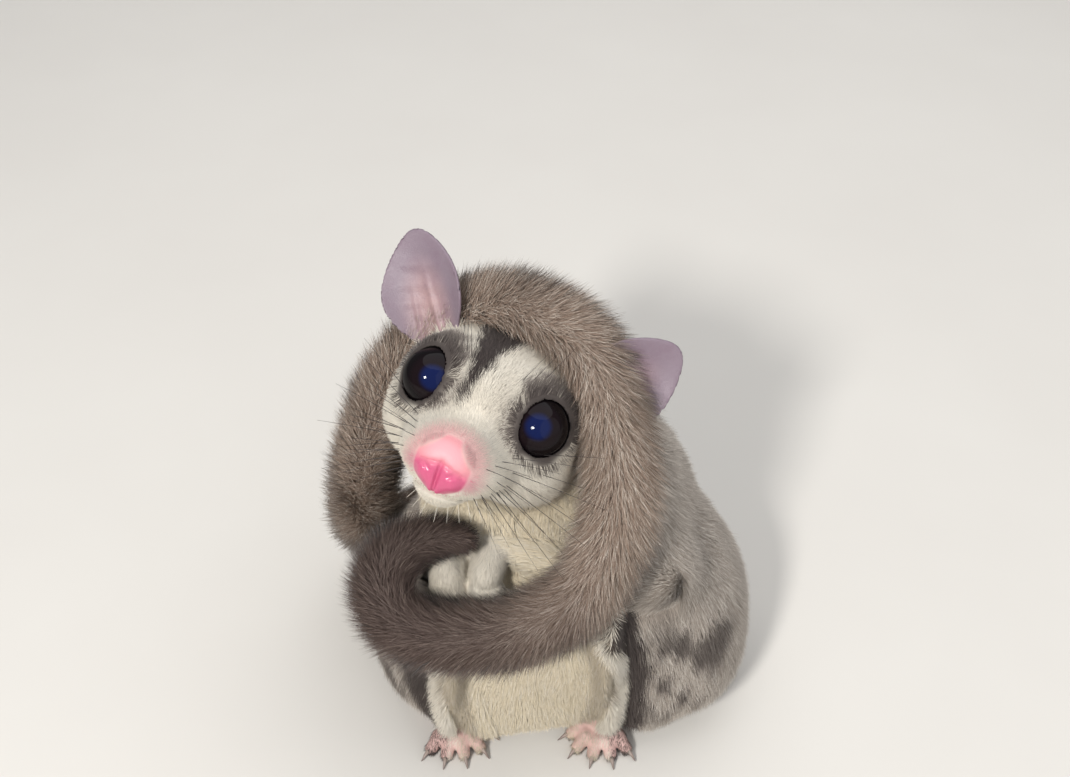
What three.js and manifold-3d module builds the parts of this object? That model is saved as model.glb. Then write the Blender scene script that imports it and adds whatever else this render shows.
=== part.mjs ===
// A sugar glider as a still, life-size model. It sits on its rump and hind feet and looks up,
// with its tail wound behind its head, down its left cheek and across its chest.
// Units are millimetres. +Z is up, the animal faces -Y and its own left side is +X.
// Every solid reaches to the tips of the coat. Neighbours keep a thin gap and never overlap.
import * as THREE from "three";
import { mergeVertices } from "three/addons/utils/BufferGeometryUtils.js";
import Module from "manifold-3d";

const wasm = await Module();
wasm.setup();

const GAP = 0.3; // between neighbouring pieces
const PROBE = 0.4; // step of the search for a field's surface
const FRAMES = 200; // along every spine
const SIDES = { left: 1, right: -1 }; // the animal's own sides, as signs of x

// Driving dimensions of the head, in its own frame: x to its left, y forward, z up,
// from the point midway between the eyeballs.
const EYE_RADIUS = 4.4;
const EYE_OUT = 7.6;
const EYE_FORWARD = 0.7;
const LID_RADIUS = 4.0; // of the round opening between the lids
const NOSE_FORWARD = 15.3;
const NOSE_DROP = 4.3;
const NAPE_BACK = 24;
const EAR_LENGTH = 17.5;
const EAR_WIDTH = 12.8;
const EAR_THICK = 1.0;
const EAR_CUP = 2.2; // how far the rims curl forward
const EAR_OUT = 12.5;
const EAR_LEAN = 36; // degrees out from upright
const EAR_TURN = 8; // degrees, the cup's mouth towards the side

// The head's place in the body frame, with its snout raised and its left cheek lowered.
const HEAD_AT = [-6.6, -5.2, 57.3];
const HEAD_YAW = -15.5;
const HEAD_PITCH = -26;
const HEAD_ROLL = 15;

// Driving dimensions of the trunk, the limbs and the tail, in the body frame.
const BODY_MID = 4; // x of the trunk's own middle
const HAUNCH_OUT = 18.5;
const SHOULDER_OUT = 11;
const HAND_MID = -9.8; // x between the hands, held under the chin
const BELLY_MID = -1; // x of the bare belly, turned a little to its right
const FOOT_OUT = 11.5;
const MEMBRANE_OUT = 12.2;
const TAIL_ROOT = 5.2; // radii over the coat
const TAIL_MIDDLE = 6.6;
const TAIL_END = 5.4;
const TAIL_POINT = 2.2;
const TAIL_THICKEST = 0.55; // share of the length
const TAIL_TAPER = 14; // length of the tapered end
const TAIL_CUTS = [0, 0.27, 0.52, 0.76, 1]; // shares of the length between base, rise, cheek and end
const TAIL_PARTING = 0.0015; // the gap at each cut, as a share of the length
const CURL_RADIUS = 6.6;
const CURL_AT = [-14.3, -18.2, 34.3];

const point = (x, y, z) => new THREE.Vector3(x, y, z);
const { lerp: mix, clamp, degToRad: radians } = THREE.MathUtils;

// Fields: each gives about the distance from a point to a surface, below 0 inside.

function egg(x, y, z, rx, ry, rz, tilt = 0) {
  const c = Math.cos(radians(tilt));
  const s = Math.sin(radians(tilt));
  return (p) => {
    const dx = p.x - x;
    const dy = c * (p.y - y) + s * (p.z - z);
    const dz = c * (p.z - z) - s * (p.y - y);
    const k0 = Math.hypot(dx / rx, dy / ry, dz / rz);
    const k1 = Math.hypot(dx / rx ** 2, dy / ry ** 2, dz / rz ** 2);
    return k1 > 0 ? (k0 * (k0 - 1)) / k1 : -Math.min(rx, ry, rz);
  };
}

function bone(a, b, ra, rb) {
  const axis = b.clone().sub(a);
  const offset = new THREE.Vector3();
  return (p) => {
    offset.copy(p).sub(a);
    const t = clamp(offset.dot(axis) / axis.lengthSq(), 0, 1);
    return offset.addScaledVector(axis, -t).length() - mix(ra, rb, t);
  };
}

function blend(softness, ...fields) {
  return (p) =>
    fields.map((field) => field(p)).reduce((a, b) => {
      const h = Math.max(softness - Math.abs(a - b), 0) / softness;
      return Math.min(a, b) - (h * h * softness) / 4;
    });
}

function both(make) {
  return Object.values(SIDES).map(make);
}

function curve(...points) {
  return new THREE.CatmullRomCurve3(points, false, "centripetal");
}

// A closed skin round a spine: a sphere whose rings are laid along the curve.
// stations are the rings' shares of the curve, and reach gives each radius.
function sleeve(spine, stations, reach, sides) {
  const rings = stations.length - 1;
  const ball = new THREE.SphereGeometry(1, sides, rings);
  const frames = spine.computeFrenetFrames(FRAMES, false);
  const position = ball.getAttribute("position");
  const way = new THREE.Vector3();
  stations.forEach((t, ring) => {
    const from = spine.getPointAt(t);
    const frame = Math.round(t * FRAMES);
    for (let side = 0; side <= sides; side++) {
      const turn = (2 * Math.PI * (side % sides)) / sides;
      way.copy(frames.normals[frame]).multiplyScalar(Math.cos(turn));
      way.addScaledVector(frames.binormals[frame], Math.sin(turn));
      const end = ring === 0 || ring === rings;
      const r = end ? 0 : reach(from, way, t);
      position.setXYZ(
        ring * (sides + 1) + side,
        from.x + way.x * r,
        from.y + way.y * r,
        from.z + way.z * r,
      );
    }
  });
  return bare(ball);
}

function bare(geometry) {
  geometry.deleteAttribute("normal");
  geometry.deleteAttribute("uv");
  return mergeVertices(geometry, 1e-4);
}

function solid(geometry) {
  const { index, attributes } = geometry;
  const build = (turn) =>
    new wasm.Manifold(
      new wasm.Mesh({
        numProp: 3,
        vertProperties: Float32Array.from(attributes.position.array),
        triVerts: Uint32Array.from(index.array, (_, i, all = index.array) =>
          turn && i % 3 ? all[i % 3 === 1 ? i + 1 : i - 1] : all[i],
        ),
      }),
    );
  const upright = build(false);
  return upright.volume() > 0 ? upright : build(true);
}

// Ring shares that crowd towards the rounded ends of a spine.
function crowded(start, end, rings) {
  return Array.from({ length: rings + 1 }, (_, i) =>
    mix(start, end, (1 - Math.cos((Math.PI * i) / rings)) / 2),
  );
}

// The solid inside a field, swept along a spine that starts and ends outside it.
function swell(field, grow, spine, sides, rings, longest = 40) {
  const at = new THREE.Vector3();
  const outside = (from, way, s) => field(at.copy(from).addScaledVector(way, s)) > grow;
  const along = point(0, 0, 0);
  const edge = (t, step) => {
    while (outside(spine.getPointAt(t), along, 0)) t += step;
    return t;
  };
  const reach = (from, way) => {
    let out = longest;
    while (out > PROBE && outside(from, way, out - PROBE)) out -= PROBE;
    let inside = Math.max(out - PROBE, 0);
    for (let i = 0; i < 14; i++) {
      const half = (inside + out) / 2;
      if (outside(from, way, half)) out = half;
      else inside = half;
    }
    return out;
  };
  return solid(sleeve(spine, crowded(edge(0, 0.002), edge(1, -0.002), rings), reach, sides));
}

// A rounded limb or digit through a few joints, with a radius at each end and the
// section pressed flat by thin, for a fold of skin.
function limb(joints, r0, r1, { grow = 0, sides = 10, rings = 8, thin = 1 } = {}) {
  const a = r0 + grow;
  const b = r1 + grow;
  const [first, second] = joints;
  const [before, last] = joints.slice(-2);
  const spine = curve(
    first.clone().addScaledVector(second.clone().sub(first).normalize(), -a),
    ...joints,
    last.clone().addScaledVector(last.clone().sub(before).normalize(), b),
  );
  const length = spine.getLength();
  const reach = (from, way, t) => {
    const r = mix(a, b, t);
    const near = Math.min(t, 1 - t) * length;
    const rounded = near < r ? Math.sqrt(1 - (1 - near / r) ** 2) : 1;
    return (r * rounded) / Math.hypot(way.x / thin, way.y, way.z);
  };
  return solid(sleeve(spine, crowded(0, 1, rings), reach, sides));
}

function ball(x, y, z, r, grow = 0, sides = 20) {
  return solid(bare(new THREE.SphereGeometry(r + grow, sides, sides / 2).translate(x, y, z)));
}

function joined(...solids) {
  return solids.reduce((a, b) => a.add(b));
}

function cut(body, ...tools) {
  const pieces = tools.reduce((a, b) => a.subtract(b), body).decompose();
  return pieces.reduce((a, b) => (b.volume() > a.volume() ? b : a));
}

function geometryOf(manifold) {
  const mesh = manifold.getMesh();
  return new THREE.BufferGeometry()
    .setAttribute("position", new THREE.BufferAttribute(mesh.vertProperties, 3))
    .setIndex(new THREE.BufferAttribute(mesh.triVerts, 1));
}

const floorBlock = solid(bare(new THREE.BoxGeometry(300, 300, 60).translate(0, 0, -30)));

// The head frame's y points forward, so a mirror in y turns it to face -Y.
const headFrame = new THREE.Matrix4()
  .makeTranslation(...HEAD_AT)
  .multiply(new THREE.Matrix4().makeRotationZ(radians(HEAD_YAW)))
  .multiply(new THREE.Matrix4().makeRotationX(radians(HEAD_PITCH)))
  .multiply(new THREE.Matrix4().makeRotationY(radians(HEAD_ROLL)))
  .multiply(new THREE.Matrix4().makeScale(1, -1, 1));

function inBody(manifold) {
  return solid(geometryOf(manifold).applyMatrix4(headFrame));
}

const headField = blend(
  4,
  egg(0, -9.5, 0.2, 13.2, 14.2, 8.4),
  egg(0, -2.5, 0.8, 9.2, 8.4, 5.4),
  ...both((side) => egg(side * 6.4, -4.5, -6.2, 8.0, 9.6, 7.6)),
  ...both((side) => egg(side * EYE_OUT, -1.6, -0.2, 4.3, 4.6, 4.4)),
  bone(point(0, -1, -3.6), point(0, 8.6, -4.7), 7.0, 4.4),
  egg(0, 11.2, -4.6, 4.0, 3.9, 3.2),
  ...both((side) => egg(side * 3.6, 7.2, -6.2, 4.2, 6.2, 3.3)),
  bone(point(0, 9.4, -9.6), point(0, -4, -9.0), 3.1, 6.0),
);

function headSolid(grow) {
  const spine = curve(
    point(0, -NAPE_BACK - 4, -1),
    point(0, -14, -1.5),
    point(0, 0, -3.4),
    point(0, 9, -4.9),
    point(0, NOSE_FORWARD + 3, -NOSE_DROP - 0.7),
  );
  const openings = both((side) => {
    const { x, y, z } = eyeAxis(side).multiplyScalar(2.3).add(eyeMiddle(side));
    return ball(x, y, z, LID_RADIUS, 0, 10);
  });
  return cut(swell(headField, grow, spine, 24, 18), ...openings);
}

function noseSolid(grow) {
  const pad = blend(
    1.2,
    egg(0, 13.3, -3.5, 3.2, 2.0, 2.0),
    ...both((side) => egg(side * 1.6, 13.6, -5.5, 1.8, 1.8, 2.4)),
    egg(0, 13.3, -7.5, 1.3, 1.4, 1.8),
  );
  return swell(pad, grow, curve(point(0, 10, -4.3), point(0, 18, -4.4)), 12, 8, 6);
}

function eyeMiddle(side) {
  return point(side * EYE_OUT, EYE_FORWARD, 0.2);
}

function eyeAxis(side) {
  return point(side * 0.68, 0.68, 0.28).normalize();
}

function eyeSolid(side, grow) {
  return ball(...eyeMiddle(side).toArray(), EYE_RADIUS, grow, 14);
}

// An ear: a sphere pressed into a leaf, then curled into a cup open to the front and side.
function earSolid(side, grow) {
  const leaf = new THREE.SphereGeometry(1, 12, 8);
  const p = leaf.getAttribute("position");
  for (let i = 0; i < p.count; i++) {
    const along = (p.getY(i) + 1) / 2;
    const narrowed = mix(0.66, 1, Math.sin(Math.PI * Math.min(along * 0.85 + 0.12, 1)));
    const x = p.getX(i) * (narrowed * (EAR_WIDTH / 2) + grow);
    const curl = EAR_CUP * ((2 * x) / EAR_WIDTH) ** 2 * mix(1.6, 0.6, along);
    p.setXYZ(
      i,
      x,
      p.getZ(i) * (EAR_THICK / 2 + 1.5 * grow) + curl,
      along * EAR_LENGTH + grow * (2 * along - 1),
    );
  }
  leaf.translate(0, 0, -3.5);
  leaf.rotateZ(radians(-side * EAR_TURN));
  leaf.rotateX(radians(6));
  leaf.rotateY(radians(side * EAR_LEAN));
  leaf.translate(side * EAR_OUT, -9.5, 3.8);
  return solid(bare(leaf));
}

const trunkField = blend(
  7,
  egg(BODY_MID, 6, 14, 22, 20, 15.5),
  egg(BODY_MID, -2.5, 17, 21, 20, 17.5),
  egg(BELLY_MID + 1, -8, 6.5, 17, 15, 9.5),
  egg(BODY_MID, 5, 29, 21.5, 17.5, 17),
  egg(1, 3, 38, 16.5, 14, 11),
);

function trunkSolid(grow) {
  const spine = curve(point(BODY_MID, 2, -8), point(BODY_MID, 2, 20), point(1, 4, 56));
  return swell(trunkField, grow, spine, 20, 13);
}

function neckSolid(grow) {
  return limb([point(-1, 5, 44), point(-3, 5, 49)], 12, 11.5, { grow, sides: 12, rings: 7 });
}

function thighSolid(side, grow) {
  const x = BODY_MID + side * HAUNCH_OUT;
  const field = blend(
    5,
    egg(x, -3, 13.5, 12.2, 16.5, 13.5, 20),
    egg(x - side * 1.5, -9.5, 9.5, 11, 12, 9.5),
    egg(x - side * 5.5, -15, 6.3, 6, 7, 6.3),
  );
  const spine = curve(point(x, 22, 18), point(x, -4, 13), point(x - side * 2, -30, 8));
  return swell(field, grow, spine, 13, 8);
}

// One toe or finger with its claw, pointing along way and drooping a little.
function digit(base, way, length, radius, grow) {
  const tip = base.clone().addScaledVector(way, length).add(point(0, 0, -0.35 * radius));
  const knuckle = base.clone().lerp(tip, 0.55).add(point(0, 0, 0.45 * radius));
  const nail = tip.clone().addScaledVector(way, radius + 1.1).add(point(0, 0, -0.7));
  return joined(
    limb([base, knuckle, tip], radius, radius * 0.85, { grow, sides: 5, rings: 4 }),
    limb([tip, nail], 0.6, 0.26, { grow, sides: 4, rings: 3 }),
  );
}

function spread(count, from, to) {
  return Array.from({ length: count }, (_, i) => radians(mix(from, to, i / (count - 1))));
}

// A hind foot: a low sole on the floor with five toes, the innermost set apart.
function footSolid(side, grow) {
  const x = BELLY_MID + side * FOOT_OUT;
  const heel = point(x + side * 6, -9, 3.8);
  const pad = point(x, -18, 2.5);
  const toes = spread(5, 66, -36).map((turn, i) => {
    const way = point(-side * Math.sin(turn), -Math.cos(turn), 0);
    const start = pad.clone().addScaledVector(way, 1.6).add(point(0, 0, -1.2));
    return digit(start, way, i === 0 ? 3.6 : 4.4, 1.35, grow);
  });
  return joined(limb([heel, pad], 3.6, 3.0, { grow, sides: 8, rings: 5 }), ...toes);
}

// A hand held up under the chin, its fingers closed forward and down.
function handSolid(side, grow) {
  const wrist = point(HAND_MID + side * 4.0, -10, 34.5);
  const palm = point(HAND_MID + side * 2.8, -14.6, 33);
  const fingers = spread(5, 42, -42).map((turn, i) => {
    const way = point(Math.sin(turn), -Math.cos(turn) * 0.7, -0.7).normalize();
    const start = palm.clone().addScaledVector(way, 1.2);
    return digit(start, way, i === 0 || i === 4 ? 2.2 : 3.0, 0.95, grow);
  });
  return joined(limb([wrist, palm], 2.4, 2.4, { grow, sides: 7, rings: 4 }), ...fingers);
}

function upperArmSolid(side, grow) {
  const shoulder = point(1 + side * SHOULDER_OUT, -1, 39);
  const elbow = point(BODY_MID + side * 14, -9.5, 29);
  return limb([shoulder, elbow], 5.6, 4.6, { grow, sides: 8, rings: 5 });
}

function forearmSolid(side, grow) {
  const elbow = point(BODY_MID + side * 13, -12, 29);
  const wrist = point(HAND_MID + side * 6.2, -10, 34.5);
  const bend = elbow.clone().lerp(wrist, 0.5).add(point(0, -3.4, 0));
  return limb([elbow, bend, wrist], 4.4, 2.8, { grow, sides: 7, rings: 6 });
}

// The gliding membrane, a fold of skin gathered from the elbow down to the ankle.
function membraneSolid(side, grow) {
  const x = BELLY_MID + side * MEMBRANE_OUT;
  const folds = [point(x, -16, 24), point(x - side * 1.2, -18.2, 16), point(x, -18, 8)];
  return limb(folds, 5.2, 5.2, { grow, sides: 8, rings: 7, thin: 0.32 });
}

// The tail's last turn is half a circle that leans back, so its end lies over the hands.
const tailCurl = [0, 45, 90, 135, 180].map((turn) => {
  const lean = (CURL_RADIUS * Math.cos(radians(turn))) / Math.SQRT2;
  const [x, y, z] = CURL_AT;
  return point(x - CURL_RADIUS * Math.sin(radians(turn)), y - lean, z - lean);
});

const tailRoute = curve(
  point(2, 20, 8),
  point(-12, 24, 7.5),
  point(-23, 15, 11),
  point(-27, 6, 22),
  point(-25.5, 5, 36),
  point(-21, 9, 48),
  point(-12.5, 12.5, 56.5),
  point(-3, 10, 61),
  point(6, 3.5, 60),
  point(11, -5, 52.5),
  point(11.5, -12.5, 43),
  point(6.5, -19, 34),
  point(-4, -23, 30),
  ...tailCurl,
  point(-9, -13.5, 38.8),
);
const tailLength = tailRoute.getLength();

function tailRadius(t) {
  const swelling = mix(TAIL_ROOT, TAIL_MIDDLE, t / TAIL_THICKEST);
  const thinning = mix(TAIL_MIDDLE, TAIL_END, (t - TAIL_THICKEST) / (1 - TAIL_THICKEST));
  const full = Math.min(swelling, thinning);
  const toEnd = (1 - t) * tailLength;
  const r = toEnd < TAIL_TAPER ? mix(TAIL_POINT, full, toEnd / TAIL_TAPER) : full;
  const near = Math.min(t * tailLength, toEnd);
  return near < r ? r * Math.sqrt(1 - (1 - near / r) ** 2) : r;
}

// One length of the tail, between two of its cuts. It parts on a flat face.
function tailSolid(part, grow) {
  const start = part === 0 ? 0 : TAIL_CUTS[part] + TAIL_PARTING;
  const end = TAIL_CUTS[part + 1];
  const rings = Math.max(10, Math.round((end - start) * 50));
  const even = Array.from({ length: rings + 1 }, (_, i) => mix(start, end, i / rings));
  const head = start === 0 ? crowded(0, even[2], 6).slice(0, 3) : [start];
  const foot = end === 1 ? crowded(even[rings - 2], 1, 6).slice(4) : [end];
  const inner = even.filter((t) => t > head.at(-1) - 1e-9 && t < foot[0] + 1e-9);
  const stations = [...head, ...inner, ...foot];
  const reach = (from, way, t) => tailRadius(t) + grow;
  return solid(sleeve(tailRoute, stations, reach, 10));
}

const figure = new THREE.Group();

function add(name, manifold, look) {
  const mesh = new THREE.Mesh(geometryOf(manifold), look);
  mesh.name = name;
  figure.add(mesh);
}

function material(color, roughness) {
  return new THREE.MeshStandardMaterial({ color, roughness, metalness: 0 });
}

const COAT = material(0x8f8175, 0.9);
const FACE = material(0xdcd5c8, 0.9);
const TAIL = material(0x7d6c62, 0.9);
const EAR = material(0xa991a0, 0.55);
const EYE = material(0x120c10, 0.05);
const NOSE = material(0xe87f9c, 0.35);
const PAW = material(0xc6b8ab, 0.7);
const MEMBRANE = material(0xb9b0a4, 0.8);

// Each piece is cut by the ones that come before it here, so the first keep their full shape.
const order = [
  ["nose", (grow) => inBody(noseSolid(grow)), NOSE],
  ["eye", (grow, side) => inBody(eyeSolid(side, grow)), EYE],
  ["ear", (grow, side) => inBody(earSolid(side, grow)), EAR],
  ["tail_end", (grow) => tailSolid(3, grow), TAIL],
  ["tail_cheek", (grow) => tailSolid(2, grow), TAIL],
  ["tail_rise", (grow) => tailSolid(1, grow), TAIL],
  ["hand", (grow, side) => handSolid(side, grow), PAW],
  ["head", (grow) => inBody(headSolid(grow)), FACE],
  ["membrane", (grow, side) => membraneSolid(side, grow), MEMBRANE],
  ["forearm", (grow, side) => forearmSolid(side, grow), COAT],
  ["upper_arm", (grow, side) => upperArmSolid(side, grow), COAT],
  ["trunk", (grow) => trunkSolid(grow), COAT],
  ["tail_base", (grow) => tailSolid(0, grow), TAIL],
  ["neck", (grow) => neckSolid(grow), COAT],
  ["hind_leg", (grow, side) => thighSolid(side, grow), COAT],
  ["foot", (grow, side) => footSolid(side, grow), PAW],
];

const made = [];
for (const [name, make, look] of order) {
  const sides = make.length === 2 ? Object.entries(SIDES) : [["", 0]];
  const isTail = name.startsWith("tail");
  for (const [word, side] of sides) {
    const near = made.filter((other) => !isTail || !other.isTail);
    const tools = near.map((other) => other.grown);
    add(name + (word && "_" + word), cut(make(0, side), ...tools, floorBlock), look);
    made.push({ grown: make(GAP, side), isTail });
  }
}

// The model's own origin is on the floor, under the middle of its box.
const box = new THREE.Box3().setFromObject(figure);
const middle = box.getCenter(new THREE.Vector3());
figure.children.forEach((mesh) => mesh.position.set(-middle.x, -middle.y, 0));

export default figure;
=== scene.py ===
"""A sugar glider at life size, sitting up with its tail wound behind its head and over its chest.

One skin covers the whole body. It is the level set of a field of eggs and tapered bones that
lies a coat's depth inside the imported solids. Tufts of mesh grow on it along the lie of the coat.
Shapes are worked out in millimetres and enter the scene in metres. +Z is up and the animal
faces -Y, with its own left side towards +X.
"""
import math
import bpy
import numpy as np
from mathutils import Matrix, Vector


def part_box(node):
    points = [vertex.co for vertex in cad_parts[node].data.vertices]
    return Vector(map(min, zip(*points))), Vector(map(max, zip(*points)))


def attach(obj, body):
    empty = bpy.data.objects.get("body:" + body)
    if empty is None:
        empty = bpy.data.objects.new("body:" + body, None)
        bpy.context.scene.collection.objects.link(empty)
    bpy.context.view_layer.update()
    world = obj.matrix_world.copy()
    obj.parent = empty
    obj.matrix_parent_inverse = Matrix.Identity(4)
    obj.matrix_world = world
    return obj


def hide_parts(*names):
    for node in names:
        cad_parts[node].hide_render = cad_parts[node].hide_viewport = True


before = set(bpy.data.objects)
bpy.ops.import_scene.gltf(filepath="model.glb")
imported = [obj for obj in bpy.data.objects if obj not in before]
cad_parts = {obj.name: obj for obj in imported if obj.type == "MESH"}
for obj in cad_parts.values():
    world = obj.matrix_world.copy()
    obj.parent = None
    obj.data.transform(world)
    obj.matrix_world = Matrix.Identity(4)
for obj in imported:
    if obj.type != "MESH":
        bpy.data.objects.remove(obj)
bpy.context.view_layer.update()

MM = 0.001
SEED = 11
SIDES = {"left": 1, "right": -1}

# The head, in its own frame: x to its left, y forward, z up, from between the eyeballs.
EYE_RADIUS = 4.4
EYE_OUT = 7.6
EYE_FORWARD = 0.7
EYE_UP = 0.2
CORNEA_BULGE = 0.22
LID_RING = 4.3
LID_TUBE = 0.38
EAR_LENGTH = 17.5
EAR_WIDTH = 12.8
EAR_THICK = 1.0
EAR_RIM = 0.27
EAR_CUP = 2.2
EAR_OUT = 12.5
EAR_BACK = 9.5
EAR_UP = 3.8
EAR_SUNK = 3.5
EAR_LEAN = 36
EAR_TILT = 6
EAR_TURN = 8
STRIPE_ASIDE = 2.1  # of the head's midline, towards its right
HEAD_AT = np.array([-6.6, -5.2, 57.3])
HEAD_YAW = -15.5
HEAD_PITCH = -26
HEAD_ROLL = 15

# The trunk, the limbs and the tail, in the body frame.
BODY_MID = 4
HAUNCH_OUT = 18.5
SHOULDER_OUT = 11
HAND_MID = -9.8
BELLY_MID = -1
FOOT_OUT = 11.5
MEMBRANE_OUT = 12.2
TAIL_ROOT = 5.2
TAIL_MIDDLE = 6.6
TAIL_END = 5.4
TAIL_POINT = 2.2
TAIL_TAPER = 14
TAIL_FLESH = 0.46  # the bare tail's share of its width with the coat
CURL_RADIUS = 6.6
CURL_AT = (-14.3, -18.2, 34.3)
TAIL_SAMPLES = 260

# How deep the skin lies under the tips of the coat.
TRUNK_DEPTH = 2.0
NECK_DEPTH = 1.8
ARM_DEPTH = 1.3
MEMBRANE_DEPTH = 0.5
PAW_DEPTH = 0.18
FLOOR_GAP = 0.1

# The skin's grid, and how its coat is laid out.
COARSE = 0.6
FINE = 0.3
GRID = ((-36, 36, -23, 13), (-31, 31, -27, 8), (-0.6, 73, 42, 72))  # x, y and z: whole and fine span
BLOCK = 4  # grid steps to a block that is passed over where the skin is far off
LOCAL_MARGIN = 4
CHUNK = 60000
ROOT_SUNK = 0.12
TIP_SUNK = 0.3
TUFT_FLOOR = 0.04  # no tuft reaches lower than this above the floor
TAIL_ROOM = 3.5  # the coat's depth on the tail for which its tufts have their full length
MARK_FRAY = 0.28
UV_PATCH = 0.0015  # half a tuft's patch on the bake map
UV_EDGE = 0.02

# Claws and whiskers: radii, and the least height of a claw's middle line.
CLAW_THICK = 0.46
CLAW_POINT = 0.06
CLAW_FLOOR = 0.35
WHISKER_THICK = 0.065
WHISKER_THIN = 0.05
WHISKER_POINT = 0.018

# The camera's angle and place, and its focal length as a share of the photograph's width.
CAMERA_UP = 42
CAMERA_AT = (0.0, -135.1, 176.8)
FOCAL_SHARE = 1300 / 1070
SENSOR = 36
FLOOR_RADIUS = 2500
FLOOR_SIDES = 96
LIT_POINT = (0, 0, 35)


def radians(degrees):
    return degrees * math.pi / 180


def unit(v):
    return v / np.maximum(np.linalg.norm(v, axis=-1, keepdims=True), 1e-9)


def mix(a, b, share):
    return a + (b - a) * share


def ramp(value, low, high):
    """0 at low and 1 at high, with eased ends. low may be the larger."""
    t = np.clip((value - low) / (high - low), 0, 1)
    return t * t * (3 - 2 * t)


def turned(axis, degrees):
    return np.array(Matrix.Rotation(radians(degrees), 3, axis))


HEAD_TURN = turned("Z", HEAD_YAW) @ turned("X", HEAD_PITCH) @ turned("Y", HEAD_ROLL) @ np.diag([1, -1, 1])


def to_head(p):
    return (p - HEAD_AT) @ HEAD_TURN


def from_head(q):
    return np.asarray(q, float) @ HEAD_TURN.T + HEAD_AT


def eye_middle(side):
    return np.array([side * EYE_OUT, EYE_FORWARD, EYE_UP])


def eye_axis(side):
    return unit(np.array([side * 0.68, 0.68, 0.28]))


def packed_shift():
    """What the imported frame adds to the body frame, read off the left eyeball."""
    low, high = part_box("eye_left")
    return (np.array(low) + np.array(high)) / (2 * MM) - from_head(eye_middle(1))


SHIFT = packed_shift()


def to_scene(p):
    return (np.asarray(p) + SHIFT) * MM


# Fields: each takes points as rows and gives about the distance to a surface, below 0 inside.

def egg(x, y, z, rx, ry, rz, tilt=0):
    c = math.cos(radians(tilt))
    s = math.sin(radians(tilt))

    def field(p):
        dx = p[:, 0] - x
        dy = c * (p[:, 1] - y) + s * (p[:, 2] - z)
        dz = c * (p[:, 2] - z) - s * (p[:, 1] - y)
        return egg_distance(dx, dy, dz, rx, ry, rz)

    return field


def egg_distance(dx, dy, dz, rx, ry, rz):
    near = np.sqrt((dx / rx) ** 2 + (dy / ry) ** 2 + (dz / rz) ** 2)
    slope = np.sqrt((dx / rx**2) ** 2 + (dy / ry**2) ** 2 + (dz / rz**2) ** 2)
    return near * (near - 1) / np.maximum(slope, 1e-6)


def bone(a, b, ra, rb):
    a = np.asarray(a, float)
    axis = np.asarray(b, float) - a

    def field(p):
        offset = p - a
        t = np.clip(offset @ axis / (axis @ axis), 0, 1)
        return np.linalg.norm(offset - t[:, None] * axis, axis=1) - mix(ra, rb, t)

    return field


def chain(joints, ra, rb):
    """Bones through a few joints, with a radius at each end."""
    joints = [np.asarray(j, float) for j in joints]
    runs = np.cumsum([0] + [np.linalg.norm(b - a) for a, b in zip(joints, joints[1:])])
    radii = mix(ra, rb, runs / runs[-1])
    links = zip(joints, joints[1:], radii, radii[1:])
    return blend(0.6, *(bone(*link) for link in links))


def soft_min(a, b, softness):
    h = np.maximum(softness - np.abs(a - b), 0) / softness
    return np.minimum(a, b) - h * h * softness / 4


def soft_max(a, b, softness):
    return -soft_min(-a, -b, softness)


def blend(softness, *fields):
    def field(p):
        total = fields[0](p)
        for other in fields[1:]:
            total = soft_min(total, other(p), softness)
        return total

    return field


def both(make):
    return [make(side) for side in SIDES.values()]


def local(field, node):
    """The field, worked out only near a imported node, and elsewhere the distance to its box's ball."""
    low, high = (np.array(corner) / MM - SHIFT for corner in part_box(node))
    middle = (low + high) / 2
    radius = np.linalg.norm(high - low) / 2

    def nearby(p):
        away = np.linalg.norm(p - middle, axis=1) - radius
        close = away < LOCAL_MARGIN
        away[close] = field(p[close])
        return away

    return nearby


HEAD_FORM = blend(
    4,
    egg(0, -9.5, 0.2, 13.2, 14.2, 8.4),
    egg(0, -2.5, 0.8, 9.2, 8.4, 5.4),
    *both(lambda side: egg(side * 6.4, -4.5, -6.2, 8.0, 9.6, 7.6)),
    *both(lambda side: egg(side * EYE_OUT, -1.6, -0.2, 4.3, 4.6, 4.4)),
    bone((0, -1, -3.6), (0, 8.6, -4.7), 7.0, 4.4),
    egg(0, 11.2, -4.6, 4.0, 3.9, 3.2),
    *both(lambda side: egg(side * 3.6, 7.2, -6.2, 4.2, 6.2, 3.3)),
    bone((0, 9.4, -9.6), (0, -4, -9.0), 3.1, 6.0),
)
NOSE_FORM = blend(
    1.2,
    egg(0, 13.3, -3.5, 3.2, 2.0, 2.0),
    *both(lambda side: egg(side * 1.6, 13.6, -5.5, 1.8, 1.8, 2.4)),
    egg(0, 13.3, -7.5, 1.3, 1.4, 1.8),
)


def nostril(side):
    """The comma of a nostril, from its round inner end to its slit on the pad's side."""
    return [(side * 1.35, 15.6, -5.6), (side * 2.4, 15.2, -4.9), (side * 3.2, 14.1, -5.3)]


NOSTRILS = blend(
    0.3,
    *both(lambda side: chain(nostril(side), 0.4, 0.28)),
)


def eye_offset(q, side):
    """Distance from the eyeball's middle, height along its axis and distance from that axis."""
    w = q - eye_middle(side)
    height = w @ eye_axis(side)
    away = w - height[:, None] * eye_axis(side)
    return np.linalg.norm(w, axis=1), height, np.linalg.norm(away, axis=1)


def face_depth(q):
    """The coat's depth on the head, thin round the eyes and on the snout."""
    depth = np.interp(q[:, 1], [-14, -4, 8], [1.5, 1.0, 0.55])
    for side in SIDES.values():
        depth = mix(0.3, depth, ramp(eye_offset(q, side)[0], 5, 9))
    return depth


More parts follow.
